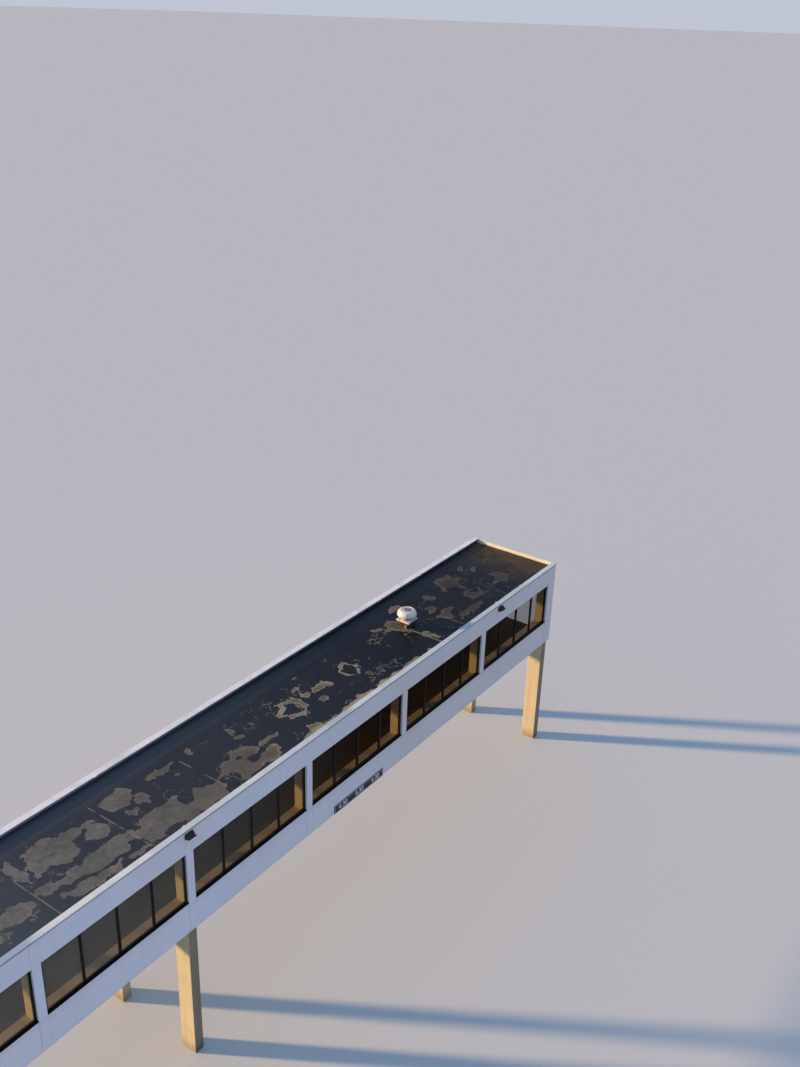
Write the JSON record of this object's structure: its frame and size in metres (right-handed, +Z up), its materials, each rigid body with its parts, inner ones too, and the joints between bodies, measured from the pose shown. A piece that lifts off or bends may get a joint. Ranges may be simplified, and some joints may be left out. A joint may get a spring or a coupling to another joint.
{
  "type": "enclosed pedestrian bridge",
  "caption": "Flat-roofed enclosed pedestrian bridge with ribbon windows and a mushroom roof fan, carried on paired concrete piers over a road, open at both ends.",
  "frame": {"origin": "on the ground under the middle of the bridge's length and width", "axes": "+X along the bridge towards the terminal end, +Z up, the wall with the height plate faces -Y"},
  "size_m": [27.892, 3.806, 8.02],
  "materials": {
    "pier_concrete": "board-marked concrete, slightly stained",
    "bearing_steel": "dull grey paint",
    "wall_paint": "matt off-white paint on smooth panels",
    "soffit_board": "matt paint",
    "inner_board": "painted board",
    "frame_bronze": "dark bronze anodised",
    "bronze_glass": "bronze tinted sealed units",
    "ledge_laminate": "satin laminate",
    "beam_steel": "primer",
    "slab_concrete": "float-finished concrete",
    "floor_carpet": "short loop carpet",
    "deck_board": "insulation board",
    "roof_sheet": "black roof sheet with dried dust",
    "flashing_cream": "cream paint",
    "coping_metal": "light grey-white coated sheet",
    "fan_metal": "cream coated spun aluminium",
    "light_bronze": "dark bronze paint",
    "plate_navy": "navy paint"
  },
  "bodies": {
    "root": {"front_mid_pier": "pier_concrete", "back_mid_pier": "pier_concrete", "front_terminal_pier": "pier_concrete", "back_terminal_pier": "pier_concrete", "bearing_plates": "bearing_steel", "front_posts": "wall_paint", "back_posts": "wall_paint", "front_lower_panels": "wall_paint", "back_lower_panels": "wall_paint", "front_fascia_panels": "wall_paint", "back_fascia_panels": "wall_paint", "front_head_linings": "inner_board", "back_head_linings": "inner_board", "front_jamb_linings": "inner_board", "back_jamb_linings": "inner_board", "front_window_frames": "frame_bronze", "back_window_frames": "frame_bronze", "front_glass": "bronze_glass", "back_glass": "bronze_glass", "front_window_ledges": "ledge_laminate", "back_window_ledges": "ledge_laminate", "soffit": "soffit_board", "floor_beams": "beam_steel", "floor_slab": "slab_concrete", "floor_covering": "floor_carpet", "ceiling": "inner_board", "roof_beams": "beam_steel", "roof_deck": "deck_board", "roof_membrane": "roof_sheet", "front_roof_upstand": "roof_sheet", "back_roof_upstand": "roof_sheet", "roof_end_flashings": "flashing_cream", "front_coping": "coping_metal", "back_coping": "coping_metal", "fan_curb": "roof_sheet", "fan_base": "fan_metal", "fan_motor_bracket": "fan_metal", "fan_dome": "fan_metal", "fan_cap": "fan_metal", "front_wall_lights": "light_bronze", "back_wall_lights": "light_bronze", "height_plate": "plate_navy"}
  },
  "joints": []
}
